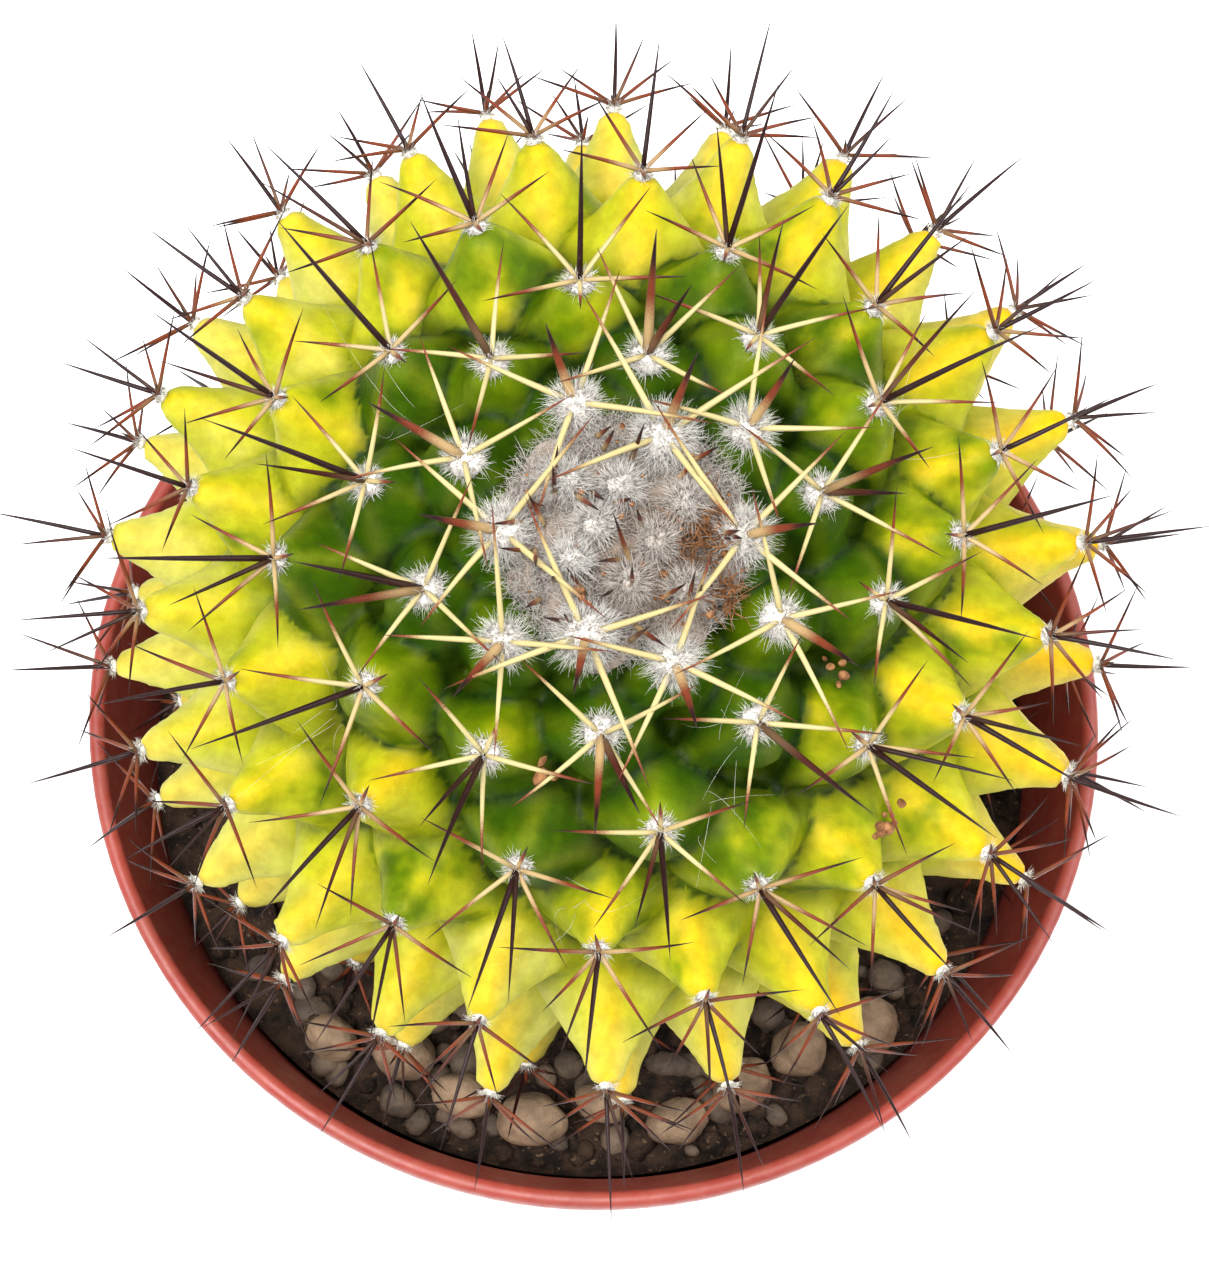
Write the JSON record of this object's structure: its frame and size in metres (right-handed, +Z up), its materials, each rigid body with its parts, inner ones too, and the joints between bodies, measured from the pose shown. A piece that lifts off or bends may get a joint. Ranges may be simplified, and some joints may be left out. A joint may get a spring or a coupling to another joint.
{
  "type": "potted round cactus",
  "caption": "Round spiny cactus with pointed green and yellow tubercles and a woolly crown, leaning a little in a small round plastic pot of soil topped with pebbles.",
  "frame": {"origin": "middle of the flat underside of the pot, where it rests", "axes": "+Z up along the pot's axis, -Y towards the side that the plant leans to and the pebbles lie on, +X to the right seen from that side"},
  "size_m": [0.0675, 0.0681, 0.1126],
  "materials": {
    "pot_plastic": "matte, moulded, clay red",
    "potting_soil": "dark, crumbly potting mix",
    "pebble_stone": "dry, rounded, matte",
    "root_bark": "matte, fibrous",
    "cactus_skin": "waxy, half gloss, deep green at the crown to lemon yellow at the tips",
    "areole_wool": "white downy wool",
    "spine_horn": "smooth horn, cream to rust red with dark tips"
  },
  "bodies": {
    "root": {"pot": "pot_plastic", "soil": "potting_soil", "root": "root_bark", "stem": "cactus_skin", "crown_wool": "areole_wool", "pebble_1": "pebble_stone", "pebble_2": "pebble_stone", "pebble_3": "pebble_stone", "pebble_4": "pebble_stone", "pebble_5": "pebble_stone", "pebble_6": "pebble_stone", "pebble_7": "pebble_stone", "pebble_8": "pebble_stone", "pebble_9": "pebble_stone", "spine_cluster_01": "spine_horn", "spine_cluster_02": "spine_horn", "spine_cluster_03": "spine_horn", "spine_cluster_04": "spine_horn", "spine_cluster_05": "spine_horn", "spine_cluster_06": "spine_horn", "spine_cluster_07": "spine_horn", "spine_cluster_08": "spine_horn", "spine_cluster_09": "spine_horn", "spine_cluster_10": "spine_horn", "spine_cluster_11": "spine_horn", "spine_cluster_12": "spine_horn", "spine_cluster_13": "spine_horn", "spine_cluster_14": "spine_horn", "spine_cluster_15": "spine_horn", "spine_cluster_16": "spine_horn", "spine_cluster_17": "spine_horn", "spine_cluster_18": "spine_horn", "spine_cluster_19": "spine_horn", "spine_cluster_20": "spine_horn", "spine_cluster_21": "spine_horn", "spine_cluster_22": "spine_horn", "spine_cluster_23": "spine_horn", "spine_cluster_24": "spine_horn", "spine_cluster_25": "spine_horn", "spine_cluster_26": "spine_horn", "spine_cluster_27": "spine_horn", "spine_cluster_28": "spine_horn", "spine_cluster_29": "spine_horn", "spine_cluster_30": "spine_horn", "spine_cluster_31": "spine_horn", "spine_cluster_32": "spine_horn", "spine_cluster_33": "spine_horn", "spine_cluster_34": "spine_horn", "spine_cluster_35": "spine_horn", "spine_cluster_36": "spine_horn", "spine_cluster_37": "spine_horn", "spine_cluster_38": "spine_horn", "spine_cluster_39": "spine_horn", "spine_cluster_40": "spine_horn", "spine_cluster_41": "spine_horn", "spine_cluster_42": "spine_horn", "spine_cluster_43": "spine_horn", "spine_cluster_44": "spine_horn"}
  },
  "joints": []
}
